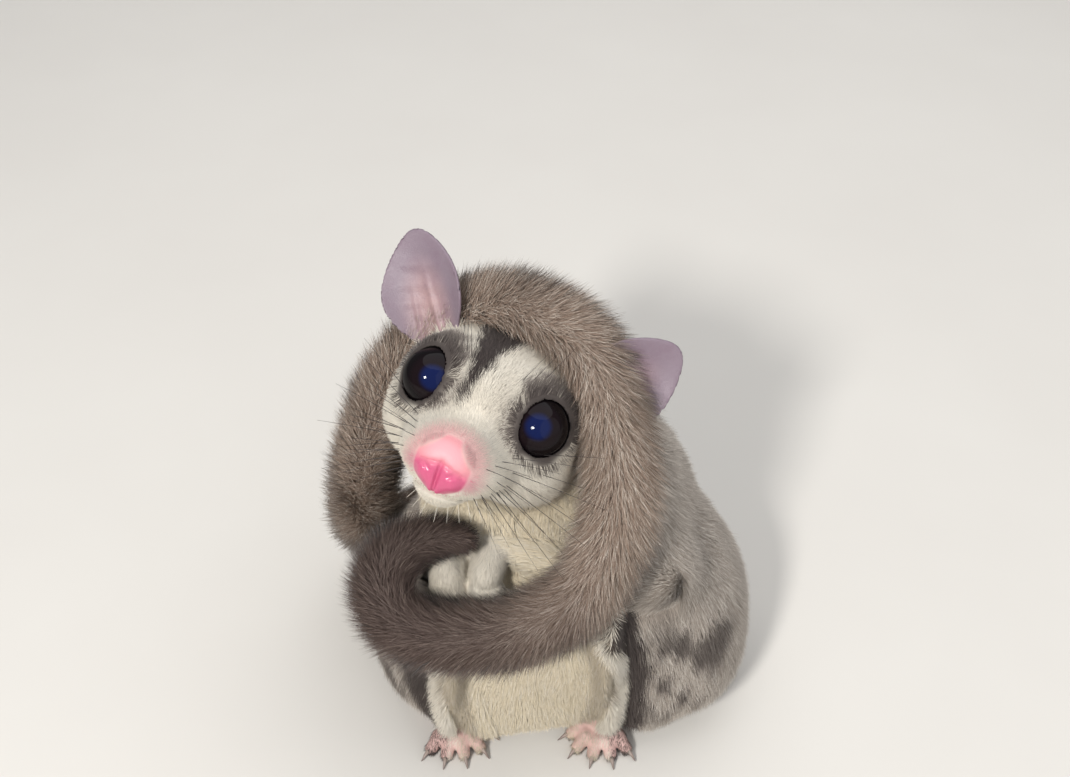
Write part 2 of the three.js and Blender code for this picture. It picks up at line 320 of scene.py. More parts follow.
def lid(q, side):
    """The rim of the eyelids, drawn out into a small corner towards the nose."""
    _, height, out = eye_offset(q, side)
    w = q - eye_middle(side)
    to_nose = unit(np.array([-side * 0.62, 0.55, -0.55]))
    corner = ramp(unit(w) @ to_nose, 0.62, 0.98)
    ring = LID_RING + 0.55 * corner
    rise = math.sqrt((EYE_RADIUS + 0.15) ** 2 - LID_RING**2) - 0.25 * corner
    return np.hypot(out - ring, height - rise) - LID_TUBE


def mouth_groove(q):
    line = -9.7 + 0.016 * (q[:, 1] - 9) ** 2
    length = ramp(q[:, 1], 2.5, 5) * ramp(q[:, 1], 14.2, 13)
    return 0.55 * np.exp(-(((q[:, 2] - line) / 0.34) ** 2)) * length


def philtrum(q):
    front = ramp(q[:, 1], 12.6, 13.8) * ramp(q[:, 2], -3.4, -4.6)
    return 0.6 * np.exp(-((q[:, 0] / 0.28) ** 2)) * front


def nose_fold(q):
    """The crease where the pad's upper roll meets its two lobes."""
    line = -4.3 - 0.1 * q[:, 0] ** 2
    return 0.35 * np.exp(-(((q[:, 2] - line) / 0.3) ** 2)) * ramp(q[:, 1], 14, 14.8)


def head_skin(q):
    nose = soft_max(NOSE_FORM(q) + philtrum(q) + nose_fold(q), -NOSTRILS(q), 0.25)
    total = HEAD_FORM(q) + face_depth(q) + mouth_groove(q)
    total = soft_min(total, nose, 0.7)
    for side in SIDES.values():
        total = soft_min(total, lid(q, side), 0.9)
        total = soft_max(total, EYE_RADIUS + 0.08 - eye_offset(q, side)[0], 0.15)
    return total


def ear_frame(q, side):
    """x across the ear, y towards its cupped front and its height from the root, 0 to 1."""
    turn = turned("Y", side * EAR_LEAN) @ turned("X", EAR_TILT) @ turned("Z", -side * EAR_TURN)
    x, y, z = ((q - np.array([side * EAR_OUT, -EAR_BACK, EAR_UP])) @ turn).T
    along = (z + EAR_SUNK) / EAR_LENGTH
    curl = EAR_CUP * (2 * x / EAR_WIDTH) ** 2 * mix(1.6, 0.6, np.clip(along, 0, 1))
    return x, y - curl, along


def ear_skin(q, side):
    x, y, along = ear_frame(q, side)
    share = np.clip(along, 0, 1)
    narrowed = mix(0.66, 1, np.sin(np.pi * np.minimum(share * 0.85 + 0.12, 1)))
    half = narrowed * EAR_WIDTH / 2
    height = (along - 0.5) * EAR_LENGTH
    reach = EAR_LENGTH / 2
    near = np.hypot(x / half, height / reach)
    outline = near * (near - 1) / np.maximum(np.hypot(x / half**2, height / reach**2), 1e-6)
    thick = EAR_RIM + 0.5 * (EAR_THICK / 2) * np.sqrt(np.clip(1 - near**2, 0, 1))
    leaf = soft_max(outline, np.abs(y) - thick, 0.35)
    ridge = np.exp(-(((x + side * 1.2 * (1 - share)) / 0.55) ** 2)) * ramp(share, 0.78, 0.3)
    vein = np.exp(-(((x - side * 1.9) / 0.45) ** 2)) * ramp(share, 0.65, 0.2)
    ribs = 0.5 + 0.5 * np.sin(38 * share + 0.5 * x)
    ribs = ribs * ramp(np.abs(x) / half, 0.9, 0.4) * ramp(share, 0.95, 0.7) * ramp(share, 0.3, 0.45)
    return leaf - (0.42 * ridge + 0.3 * vein + 0.12 * ribs) * (y > 0)


TRUNK_FORM = blend(
    7,
    egg(BODY_MID, 6, 14, 22, 20, 15.5),
    egg(BODY_MID, -2.5, 17, 21, 20, 17.5),
    egg(BELLY_MID + 1, -8, 6.5, 17, 15, 9.5),
    egg(BODY_MID, 5, 29, 21.5, 17.5, 17),
    egg(1, 3, 38, 16.5, 14, 11),
)
NECK_FORM = bone((-1, 5, 44), (-3, 5, 49), 12, 11.5)


def thigh_form(side):
    x = BODY_MID + side * HAUNCH_OUT
    return blend(
        5,
        egg(x, -3, 13.5, 12.2, 16.5, 13.5, 20),
        egg(x - side * 1.5, -9.5, 9.5, 11, 12, 9.5),
        egg(x - side * 5.5, -15, 6.3, 6, 7, 6.3),
    )


def upper_arm_form(side):
    return bone((1 + side * SHOULDER_OUT, -1, 39), (BODY_MID + side * 14, -9.5, 29), 5.6, 4.6)


def forearm_ends(side):
    elbow = np.array([BODY_MID + side * 13, -12, 29])
    wrist = np.array([HAND_MID + side * 6.2, -10, 34.5])
    return elbow, wrist


def forearm_form(side):
    elbow, wrist = forearm_ends(side)
    bend = (elbow + wrist) / 2 + [0, -3.4, 0]
    return chain([elbow, bend, wrist], 4.4, 2.8)


def membrane_form(side):
    x = BELLY_MID + side * MEMBRANE_OUT
    return blend(
        2,
        egg(x, -16.4, 22, 1.7, 5.2, 7.2),
        egg(x - side * 1.2, -18.2, 16, 1.7, 5.2, 8),
        egg(x, -18, 8.5, 1.7, 5.2, 5.8),
    )


def digit(base, way, length, radius):
    """A toe or finger: its joints, its radius and where its claw starts and ends."""
    base = np.asarray(base, float)
    tip = base + way * length + [0, 0, -0.35 * radius]
    knuckle = mix(base, tip, 0.55) + [0, 0, 0.45 * radius]
    nail = tip + way * (radius + 1.1) + [0, 0, -0.7]
    return {"joints": [base, knuckle, tip], "radius": radius, "claw": (tip, nail)}


def spread(count, start, end):
    return [radians(mix(start, end, i / (count - 1))) for i in range(count)]


def toes(side):
    pad = np.array([BELLY_MID + side * FOOT_OUT, -18, 2.5])
    made = []
    for i, turn in enumerate(spread(5, 66, -36)):
        way = np.array([-side * math.sin(turn), -math.cos(turn), 0])
        made.append(digit(pad + 1.6 * way + [0, 0, -1.2], way, 3.6 if i == 0 else 4.4, 1.35))
    return made


def fingers(side):
    palm = np.array([HAND_MID + side * 2.8, -14.6, 33])
    made = []
    for i, turn in enumerate(spread(5, 42, -42)):
        way = unit(np.array([math.sin(turn), -math.cos(turn) * 0.7, -0.7]))
        made.append(digit(palm + 1.2 * way, way, 2.2 if i in (0, 4) else 3.0, 0.95))
    return made


def digit_forms(digits):
    return [chain(d["joints"], d["radius"], 0.85 * d["radius"]) for d in digits]


def foot_form(side):
    x = BELLY_MID + side * FOOT_OUT
    sole = bone((x + side * 6, -9, 3.8), (x, -18, 2.5), 3.6, 3.0)
    return blend(0.7, sole, *digit_forms(toes(side)))


def hand_form(side):
    wrist = (HAND_MID + side * 4.0, -10, 34.5)
    palm = (HAND_MID + side * 2.8, -14.6, 33)
    return blend(0.5, bone(wrist, palm, 2.4, 2.4), *digit_forms(fingers(side)))


def tail_curl():
    """The last half turn, which leans back so that the tail's end lies over the hands."""
    x, y, z = CURL_AT
    made = []
    for turn in (0, 45, 90, 135, 180):
        lean = CURL_RADIUS * math.cos(radians(turn)) / math.sqrt(2)
        made.append((x - CURL_RADIUS * math.sin(radians(turn)), y - lean, z - lean))
    return made


TAIL_JOINTS = [
    (2, 20, 8),
    (-12, 24, 7.5),
    (-23, 15, 11),
    (-27, 6, 22),
    (-25.5, 5, 36),
    (-21, 9, 48),
    (-12.5, 12.5, 56.5),
    (-3, 10, 61),
    (6, 3.5, 60),
    (11, -5, 52.5),
    (11.5, -12.5, 43),
    (6.5, -19, 34),
    (-4, -23, 30),
    *tail_curl(),
    (-9, -13.5, 38.8),
]


def smooth_route(joints, steps=24):
    """A centripetal Catmull-Rom curve through the joints, as points at even lengths."""
    p = np.array(joints, float)
    p = np.vstack([2 * p[0] - p[1], p, 2 * p[-1] - p[-2]])
    share = np.linspace(0, 1, steps, endpoint=False)[:, None]
    points = []
    for p0, p1, p2, p3 in zip(p, p[1:], p[2:], p[3:]):
        d0, d1, d2 = (math.sqrt(np.linalg.norm(b - a)) for a, b in ((p0, p1), (p1, p2), (p2, p3)))
        m1 = d1 * ((p1 - p0) / d0 - (p2 - p0) / (d0 + d1) + (p2 - p1) / d1)
        m2 = d1 * ((p2 - p1) / d1 - (p3 - p1) / (d1 + d2) + (p3 - p2) / d2)
        c2 = -3 * p1 + 3 * p2 - 2 * m1 - m2
        c3 = 2 * p1 - 2 * p2 + m1 + m2
        points.append(p1 + share * (m1 + share * (c2 + share * c3)))
    points = np.vstack(points + [p[-2][None]])
    run = np.concatenate([[0], np.cumsum(np.linalg.norm(np.diff(points, axis=0), axis=1))])
    even = np.linspace(0, run[-1], TAIL_SAMPLES)
    return np.column_stack([np.interp(even, run, points[:, i]) for i in range(3)]), run[-1]


TAIL_LINE, TAIL_LENGTH = smooth_route(TAIL_JOINTS)
TAIL_WAY = unit(np.gradient(TAIL_LINE, axis=0))


def tail_radius(t):
    """The tail's radius to the tips of its coat, at a share of its length."""
    full = np.interp(t, [0, 0.55, 1], [TAIL_ROOT, TAIL_MIDDLE, TAIL_END])
    return mix(TAIL_POINT, full, np.clip((1 - t) * TAIL_LENGTH / TAIL_TAPER, 0, 1))


def tail_near(p):
    """The nearest place on the tail's line: its share of the length and its distance."""
    shares = np.empty(len(p))
    away = np.empty(len(p))
    first_kept = int(TAIL_SAMPLES * TAIL_ROOT * TAIL_FLESH / TAIL_LENGTH)
    keep = slice(first_kept, int(TAIL_SAMPLES * (1 - 1.2 / TAIL_LENGTH)))
    line = TAIL_LINE[keep]
    step = np.diff(line, axis=0)
    for start in range(0, len(p), CHUNK):
        chunk = slice(start, start + CHUNK)
        part = p[chunk]
        square = (line**2).sum(1) - 2 * part @ line.T
        i = np.clip(square.argmin(1), 1, len(line) - 2)
        best = np.full(len(part), np.inf)
        for first in (i - 1, i):
            offset = part - line[first]
            t = np.clip((offset * step[first]).sum(1) / (step[first] ** 2).sum(1), 0, 1)
            d = np.linalg.norm(offset - t[:, None] * step[first], axis=1)
            nearer = d < best
            best = np.where(nearer, d, best)
            place = (first + t + first_kept) / (TAIL_SAMPLES - 1)
            shares[chunk] = np.where(nearer, place, shares[chunk])
        away[chunk] = best
    return shares, away


def tail_skin(p):
    share, away = tail_near(p)
    return away - TAIL_FLESH * tail_radius(share), share


LIMB_FORMS = {
    f"{name}_{word}": (local(form(side), f"{name}_{word}"), depth)
    for name, form, depth in (
        ("hind_leg", thigh_form, TRUNK_DEPTH),
        ("upper_arm", upper_arm_form, ARM_DEPTH),
        ("forearm", forearm_form, ARM_DEPTH),
        ("membrane", membrane_form, MEMBRANE_DEPTH),
        ("hand", hand_form, PAW_DEPTH),
        ("foot", foot_form, PAW_DEPTH),
    )
    for word, side in SIDES.items()
}
SOFTNESS = {"hind_leg": 9, "upper_arm": 8, "forearm": 3, "membrane": 2.5, "hand": 1, "foot": 1.5}
HEAD_FIELD = local(lambda p: head_skin(to_head(p)), "head")
EAR_FIELDS = {
    f"ear_{word}": local(lambda p, side=side: ear_skin(to_head(p), side), f"ear_{word}")
    for word, side in SIDES.items()
}


def part_skins(p):
    """The skin's field for each part of the body, by name."""
    made = {"trunk": TRUNK_FORM(p) + TRUNK_DEPTH, "neck": NECK_FORM(p) + NECK_DEPTH}
    made["head"] = HEAD_FIELD(p)
    for name, field in EAR_FIELDS.items():
        made[name] = field(p)
    for name, (form, depth) in LIMB_FORMS.items():
        made[name] = form(p) + depth
    made["tail"], made["tail_share"] = tail_skin(p)
    return made


def joined_skin(parts):
    total = soft_min(parts["trunk"], parts["neck"], 6)
    for name in LIMB_FORMS:
        total = soft_min(total, parts[name], SOFTNESS[name.rsplit("_", 1)[0]])
    total = soft_min(total, parts["head"], 4)
    for word in SIDES:
        total = soft_min(total, parts[f"ear_{word}"], 1.6)
    root = ramp(parts["tail_share"], 0.1, 0.04)
    return soft_min(total, parts["tail"], 0.2 + 4 * root)


def skin(p):
    """The whole skin, resting just above the floor."""
    return soft_max(joined_skin(part_skins(p)), FLOOR_GAP - p[:, 2], 0.3)


def lines(low, high, fine_low, fine_high):
    """Grid lines from low to high, close together in the fine span, which holds the head."""
    made = [np.arange(low, fine_low, COARSE), np.arange(fine_low, fine_high, FINE)]
    made = np.concatenate(made + [np.arange(fine_high, high + COARSE, COARSE)])
    return made[: (len(made) - 1) // BLOCK * BLOCK + 1]


def sampled(axes):
    """The skin's field on the grid, worked out closely only in blocks that the skin may cross."""
    blocks = [a[::BLOCK] for a in axes]
    shape = [len(b) for b in blocks]
    corners = np.stack(np.meshgrid(*blocks, indexing="ij"), -1).reshape(-1, 3)
    rough = skin(corners).reshape(shape)
    reach = 0.55 * np.linalg.norm([np.diff(b).max() for b in blocks])
    near = np.abs(rough) < reach
    lit = near[:-1, :-1, :-1].copy()
    for i in (0, 1):
        for j in (0, 1):
            for k in (0, 1):
                ends = [slice(o, o + s - 1) for o, s in zip((i, j, k), shape)]
                lit |= near[tuple(ends)]
    values = rough.astype(np.float32)
    for axis in range(3):
        values = np.repeat(values, BLOCK, axis=axis)
        lit = np.repeat(lit, BLOCK, axis=axis)
    values = values[tuple(slice(0, len(a)) for a in axes)]
    wanted = np.zeros(values.shape, bool)
    for i in (0, 1):
        for j in (0, 1):
            for k in (0, 1):
                ends = tuple(slice(o, o + s) for o, s in zip((i, j, k), lit.shape))
                wanted[ends] |= lit
    at = np.nonzero(wanted)
    values[at] = skin(np.column_stack([axis[i] for axis, i in zip(axes, at)]))
    return values


def surface_net(values, axes):
    """Quads round the level set: one point in each cell that it crosses."""
    inside = values < 0
    cells = tuple(s - 1 for s in values.shape)
    corner_ids = [(i, j, k) for i in (0, 1) for j in (0, 1) for k in (0, 1)]
    count = np.zeros(cells, np.uint8)
    for i, j, k in corner_ids:
        count += inside[i : i + cells[0], j : j + cells[1], k : k + cells[2]]
    at = np.argwhere((count > 0) & (count < 8))
    places = {}
    for corner in corner_ids:
        index = at + corner
        where = np.column_stack([axis[index[:, n]] for n, axis in enumerate(axes)])
        places[corner] = (where, values[tuple(index.T)].astype(float))
    total = np.zeros((len(at), 3))
    crossings = np.zeros(len(at))
    for a in corner_ids:
        for n in range(3):
            if a[n]:
                continue
            b = tuple(1 if m == n else a[m] for m in range(3))
            pa, va = places[a]
            pb, vb = places[b]
            crossed = (va < 0) != (vb < 0)
            t = np.where(crossed, va / np.where(crossed, va - vb, 1), 0)
            total += np.where(crossed[:, None], pa + t[:, None] * (pb - pa), 0)
            crossings += crossed
    points = total / crossings[:, None]
    numbers = np.full(cells, -1, np.int32)
    numbers[tuple(at.T)] = np.arange(len(at))
    quads = []
    for n in range(3):
        other = [m for m in range(3) if m != n]
        lower = [slice(None)] * 3
        upper = [slice(None)] * 3
        lower[n] = slice(0, -1)
        upper[n] = slice(1, None)
        starts = inside[tuple(lower)]
        changed = np.argwhere(starts != inside[tuple(upper)])
        limits = np.array(cells)[other]
        changed = changed[((changed[:, other] > 0) & (changed[:, other] < limits)).all(1)]
        leaving = starts[tuple(changed.T)]
        ring = []
        for da, db in ((1, 1), (0, 1), (0, 0), (1, 0)):
            cell = changed.copy()
            cell[:, other[0]] -= da
            cell[:, other[1]] -= db
            ring.append(numbers[tuple(cell.T)])
        ring = np.column_stack(ring)
        flip = leaving if n != 1 else ~leaving
        quads.append(np.where(flip[:, None], ring, ring[:, ::-1]))
    return points, np.vstack(quads)


def slope(p, here, step=0.03):
    """The way in which the skin's field grows at each point."""
    return np.column_stack([(skin(p + step * axis) - here) / step for axis in np.eye(3)])


def settled(points, quads):
    """Evens out the net and draws it onto the field, with the field's own normals."""
    edges = np.vstack([quads[:, [i, (i + 1) % 4]] for i in range(4)])
    degree = np.bincount(edges[:, 0], minlength=len(points))[:, None]
    for turn in range(3):
        if turn < 2:
            centre = np.column_stack(
                [np.bincount(edges[:, 0], points[edges[:, 1], n], len(points)) for n in range(3)]
            )
            points = mix(points, centre / np.maximum(degree, 1), 0.5)
        here = skin(points)
        normal = slope(points, here)
        size = np.maximum((normal**2).sum(1), 0.3)[:, None]
        points = points - np.clip(here[:, None] * normal / size, -0.3, 0.3)
    return points, unit(slope(points, skin(points)))


def mesh_piece(name, points, faces, surface, slot, normals=None, marks=None):
    """A mesh object from arrays, riding on the body, with its markings as point values."""
    mesh = bpy.data.meshes.new(name)
    mesh.vertices.add(len(points))
    mesh.vertices.foreach_set("co", to_scene(points).astype(np.float32).ravel())
    mesh.loops.add(faces.size)
    mesh.loops.foreach_set("vertex_index", faces.astype(np.int32).ravel())
    mesh.polygons.add(len(faces))
    mesh.polygons.foreach_set("loop_start", np.arange(0, faces.size, faces.shape[1], dtype=np.int32))
    mesh.update(calc_edges=True)
    mesh.shade_smooth()
    if normals is not None:
        mesh.normals_split_custom_set_from_vertices(normals)
    for mark, values in (marks or {}).items():
        layer = mesh.attributes.new(mark, "FLOAT", "POINT")
        layer.data.foreach_set("value", np.broadcast_to(values, len(points)).astype(np.float32))
    mesh.materials.append(surface)
    piece = bpy.data.objects.new(name, mesh)
    bpy.context.scene.collection.objects.link(piece)
    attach(piece, "root")
    return piece


# Materials.

def tint(red, green, blue):
    """A colour as seen, 0 to 255, as the light that a surface sends back."""
    made = []
    for c in (red, green, blue):
        c = c / 255
        made.append(c / 12.92 if c <= 0.04045 else ((c + 0.055) / 1.055) ** 2.4)
    return (*made, 1.0)


class Value:
    """A node's output, written into sums as a plain number would be."""

    def __init__(self, surface, socket):
        self.surface = surface
        self.socket = socket

    def math(self, operation, a, b):
        return self.surface.node("ShaderNodeMath", {"operation": operation}, {0: a, 1: b})

    def __add__(self, other):
        return self.math("ADD", self, other)

    def __sub__(self, other):
        return self.math("SUBTRACT", self, other)

    def __rsub__(self, other):
        return self.math("SUBTRACT", other, self)

    def __mul__(self, other):
        return self.math("MULTIPLY", self, other)

    def __pow__(self, other):
        return self.math("POWER", self, other)

    __radd__ = __add__
    __rmul__ = __mul__


class Surface:
    """One material and its nodes."""

    def __init__(self, name):
        self.material = bpy.data.materials.new(name)
        self.material.use_nodes = True
        self.tree = self.material.node_tree
        self.tree.nodes.clear()

    def node(self, kind, settings=None, inputs=None, output=0):
        made = self.tree.nodes.new(kind)
        for key, value in (settings or {}).items():
            setattr(made, key, value)
        for key, value in (inputs or {}).items():
            if isinstance(value, Value):
                self.tree.links.new(value.socket, made.inputs[key])
            else:
                made.inputs[key].default_value = value
        return Value(self, made.outputs[output]) if made.outputs else None

    def mark(self, name):
        return self.node("ShaderNodeAttribute", {"attribute_name": name}, output="Fac")

    def blend(self, a, b, share):
        settings = {"data_type": "RGBA", "clamp_factor": True}
        return self.node("ShaderNodeMix", settings, {0: share, 6: a, 7: b}, output=2)

    def place(self):
        return self.node("ShaderNodeTexCoord", output="Object")

    def noise(self, scale, detail=3.0, roughness=0.6):
        inputs = {"Vector": self.place(), "Scale": scale, "Detail": detail, "Roughness": roughness}
        return self.node("ShaderNodeTexNoise", {}, inputs)

    def bump(self, height, strength, distance):
        inputs = {"Height": height, "Strength": strength, "Distance": distance}
        return self.node("ShaderNodeBump", {}, inputs)

    def step(self, value, low, high):
        """0 where the value is at low and 1 where it is at high, with eased ends."""
        settings = {"interpolation_type": "SMOOTHSTEP"}
        inputs = {"Value": value, "From Min": low, "From Max": high}
        return self.node("ShaderNodeMapRange", settings, inputs)

    def finish(self, inputs):
        shader = self.node("ShaderNodeBsdfPrincipled", {}, inputs)
        self.node("ShaderNodeOutputMaterial", {}, {"Surface": shader})
        return self.material


# The _LIGHT colours are the paler hair tips: partly the hairs' own pale tips, partly painted glints of
# light on them.
BACK = tint(188, 177, 165)
BACK_LIGHT = tint(232, 224, 213)
BACK_DARK = tint(140, 130, 121)
TAIL_BROWN = tint(164, 142, 125)
TAIL_LIGHT = tint(238, 226, 212)
TAIL_DARK = tint(124, 104, 91)
DUSK = tint(78, 64, 59)
DUSK_LIGHT = tint(134, 118, 109)
CREAM = tint(222, 208, 180)
WHITE = tint(236, 230, 218)
SMOKE = tint(108, 97, 92)
CHARCOAL = tint(58, 50, 48)
PINK = tint(198, 84, 122)
PINK_PALE = tint(230, 156, 162)
LILAC = tint(132, 118, 128)
EAR_ROOT = tint(196, 158, 152)
EAR_VEIN = tint(120, 98, 112)
PAW_PINK = tint(212, 176, 168)
# The pupil's navy blue is a painted reflection of light in the dilated pupil.
PUPIL_BLUE_REFLECTION = tint(18, 27, 66)
IRIS_BROWN = tint(22, 14, 17)
EYE_RIM = tint(13, 9, 11)
CLAW_ROOT = tint(186, 168, 156)
CLAW_TIP = tint(92, 78, 74)
WHISKER_ROOT = tint(30, 25, 25)
WHISKER_TIP = tint(70, 60, 56)
WHISKER_PALE = tint(226, 220, 208)
FLOOR_GREY = tint(206, 202, 196)
FLOOR_PALE = tint(214, 211, 205)
ROOT_SHADE = (0.55, 0.52, 0.5, 1)
NO_SHADE = (1, 1, 1, 1)


def coat_colour(surface, light):
    """The animal's colours from its markings. light is 0 to 1, for paler hair tips and painted glints."""
    patches = surface.noise(160, 4.0)
    grain = surface.noise(1400, 2.0)
    unevenness = patches * 0.6 + grain * 0.5
    back = surface.blend(BACK_DARK, BACK, unevenness)
    back = surface.blend(back, BACK_LIGHT, light)
    tail = surface.blend(TAIL_DARK, TAIL_BROWN, unevenness)
    tail = surface.blend(tail, TAIL_LIGHT, light)
    dusk = surface.blend(DUSK, DUSK_LIGHT, light)
    tail = surface.blend(tail, dusk, surface.mark("dusk"))
    colour = surface.blend(back, tail, surface.mark("tail"))
    cream = surface.blend(CREAM, WHITE, light)
    colour = surface.blend(colour, cream, surface.mark("cream"))
    white = surface.blend(WHITE, CREAM, patches * 0.5)
    colour = surface.blend(colour, white, surface.mark("white"))
    colour = surface.blend(colour, SMOKE, surface.mark("smoke"))
    charcoal = surface.blend(CHARCOAL, SMOKE, light * 0.5)
    colour = surface.blend(colour, charcoal, surface.mark("dark"))
    pink = surface.blend(PINK_PALE, PINK, surface.mark("deep"))
    return surface.blend(colour, pink, surface.mark("pink"))


def coat_surface():
    surface = Surface("coat")
    along = surface.mark("along")
    tone = surface.mark("tone")
    # Paler tips on some tufts: partly the hairs' own pale tips, partly painted glints of light.
    light = along * along * tone ** 3 * 1.4
    colour = coat_colour(surface, light)
    shade = surface.blend(ROOT_SHADE, NO_SHADE, along ** 0.5)
    settings = {"data_type": "RGBA", "blend_type": "MULTIPLY"}
    colour = surface.node("ShaderNodeMix", settings, {0: 0.8, 6: colour, 7: shade}, output=2)
    return surface.finish(
        {
            "Base Color": colour,
            "Roughness": 0.72 - light * 0.2,
            "Specular IOR Level": 0.25,
            "Sheen Weight": 0.12,
            "Sheen Roughness": 0.4,
        }
    )


def skin_surface():
    surface = Surface("skin")
    bare = surface.mark("bare")
    pink = surface.mark("pink")
    deep = surface.mark("deep")
    colour = coat_colour(surface, 0.15)
    # Under the coat the skin is darkened: painted shade for the shadow deep in the coat, where it shows
    # between the tufts.
    under = surface.node("ShaderNodeHueSaturation", {}, {"Value": 0.74, "Color": colour})
    ear = surface.blend(LILAC, EAR_ROOT, surface.mark("ear_root"))
    clear = surface.blend(colour, ear, surface.mark("lilac"))
    clear = surface.blend(clear, PAW_PINK, surface.mark("paw"))
    veins = surface.noise(420, 5.0, 0.7)
    clear = surface.blend(clear, EAR_VEIN, surface.mark("lilac") * veins ** 3 * 1.6)
    colour = surface.blend(under, clear, bare)
    grain = surface.noise(2600, 4.0)
    pores = surface.noise(5200, 2.0)
    relief = surface.bump(grain * (1 - bare) + pores * bare * 0.5, 0.5, 0.0002)
    return surface.finish(
        {
            "Base Color": colour,
            "Roughness": 0.8 - bare * 0.25 - pink * 0.1 - surface.mark("lilac") * 0.15,
            "Coat Weight": pink * deep * 0.4,
            "Coat Roughness": 0.2,
            "Specular IOR Level": 0.35,
            "Normal": relief,
        }
    )


def eye_surface():
    surface = Surface("eye")
    off = surface.mark("off_axis")
    grain = surface.noise(900, 3.0)
    iris = surface.step(off + grain * 0.2, 1.3, 2.3)
    rim = surface.step(off, 2.6, 4.0)
    # The pupil's blue is painted reflection; the iris round it keeps its own dark brown.
    colour = surface.blend(PUPIL_BLUE_REFLECTION, IRIS_BROWN, iris)
    colour = surface.blend(colour, EYE_RIM, rim)
    return surface.finish(
        {
            "Base Color": colour,
            "Roughness": 0.45 + grain * 0.1,
            "Specular IOR Level": 0.0,
            "Coat Weight": 0.26,
            "Coat Roughness": 0.02,
        }
    )


def claw_surface():
    surface = Surface("claw")
    along = surface.mark("along")
    streaks = surface.noise(1500, 3.0)
    colour = surface.blend(CLAW_ROOT, CLAW_TIP, along * 0.8 + streaks * 0.2)
    return surface.finish({"Base Color": colour, "Roughness": 0.35 + streaks * 0.1})


def whisker_surface():
    surface = Surface("whisker")
    along = surface.mark("along")
    colour = surface.blend(WHISKER_ROOT, WHISKER_TIP, along * along)
    colour = surface.blend(colour, WHISKER_PALE, surface.mark("pale"))
    return surface.finish({"Base Color": colour, "Roughness": 0.45 + along * 0.1})


def floor_surface():
    surface = Surface("floor")
    cloud = surface.noise(14, 3.0)
    colour = surface.blend(FLOOR_GREY, FLOOR_PALE, cloud)
    return surface.finish({"Base Color": colour, "Roughness": 0.85})


# Markings, as shares from 0 to 1 at each point.

def fringe_line(z):
    """How far the membrane's pale edge wanders sideways on its way down."""
    return np.interp(z, [2, 11, 14, 21, 24.5, 29], [-0.7, 0.5, 1.4, 0.6, -1.4, -0.4])


COAT_MARKS = ("tail", "dusk", "cream", "white", "smoke", "dark", "pink", "deep")


def outside_pad(q):
    """How far out a point is from the bare pad's shield shape, seen from the front."""
    return np.abs(q[:, 0]) - 1.7 + 0.95 * (q[:, 2] + 1.9)


def face_marks(q):
    """The dark forehead stripe, the smoky eye rings and the flush round the nose."""
    x, y, z = q.T
    wave = 0.25 * np.sin(1.7 * y) + 0.2 * np.sin(2.9 * z + y)
    half = np.interp(y, [-12, -4, 0, 5, 7.5], [3.8, 2.5, 1.8, 0.8, 0.3])
    stripe = ramp(np.abs(x + STRIPE_ASIDE) + 0.5 * wave, half + 0.5, half - 0.4)
    stripe = stripe * ramp(y, 8.2, 5.8) * ramp(z, -0.6, 0.8)
    rings = np.zeros(len(q))
    rims = np.zeros(len(q))
    for side in SIDES.values():
        w = q - eye_middle(side)
        away, height, _ = eye_offset(q, side)
        way = unit(w)
        to_nose = ramp(way @ unit(np.array([-side * 0.75, 0.62, -0.2])), 0.5, 0.98)
        to_brow = ramp(way @ unit(np.array([-side * 0.55, -0.1, 0.85])), 0.4, 0.95)
        to_temple = ramp(way @ unit(np.array([side * 0.3, -0.8, 0.5])), 0.4, 0.95)
        reach = EYE_RADIUS + 0.55 + np.maximum.reduce([1.5 * to_nose, 1.3 * to_brow, 2.2 * to_temple])
        rings = np.maximum(rings, ramp(away + wave, reach + 0.6, reach - 0.5))
        smear = to_nose * ramp(away, EYE_RADIUS + 5.5, EYE_RADIUS + 1) * ramp(z, -4, -1)
        rings = np.maximum(rings, 0.62 * smear)
        rims = np.maximum(rims, ramp(away + 0.5 * wave, EYE_RADIUS + 1.6, EYE_RADIUS + 0.5))
    nose = NOSE_FORM(q)
    flush = ramp(nose, 3.4, 0.2) * ramp(z, -8.2, -6.2)
    pad = ramp(nose, 0.7, 0.15) * ramp(outside_pad(q), 0.5, -0.4)
    deep = ramp(z + 0.25 * np.abs(x), -3.0, -5.2)
    return stripe, rings, rims, flush, pad, deep


def body_fields(parts):
    """The nearest of the trunk and limbs, the nearer ear and the tail's share of each point."""
    torso = [n for n in parts if n.split("_")[0] not in ("head", "tail", "ear")]
    torso = np.minimum.reduce([parts[n] for n in torso])
    ears = np.minimum(parts["ear_left"], parts["ear_right"])
    tail = (parts["tail"] < np.minimum.reduce([torso, parts["head"], ears])).astype(float)
    return torso, ears, tail


def hand_marks(p, parts, wave, tail):
    """The bare feet and hands, and the white of the hands and wrists."""
    x, _, z = p.T
    paws = np.minimum.reduce([parts[n] for n in parts if n[:4] in ("hand", "foot")])
    others = np.minimum.reduce([parts[n] for n in parts if n[:5] in ("hind_", "trunk", "forea", "membr")])
    paw = ramp(paws - others, 0.8, -0.8) * (1 - tail)
    arms = np.minimum(parts["forearm_left"], parts["forearm_right"])
    wrists = ramp(arms, 1.0, 0) * ramp(np.abs(x - HAND_MID + 0.5 * wave), 10, 6) * (1 - tail)
    return paw, np.maximum(paw * ramp(z, 20, 24), wrists)


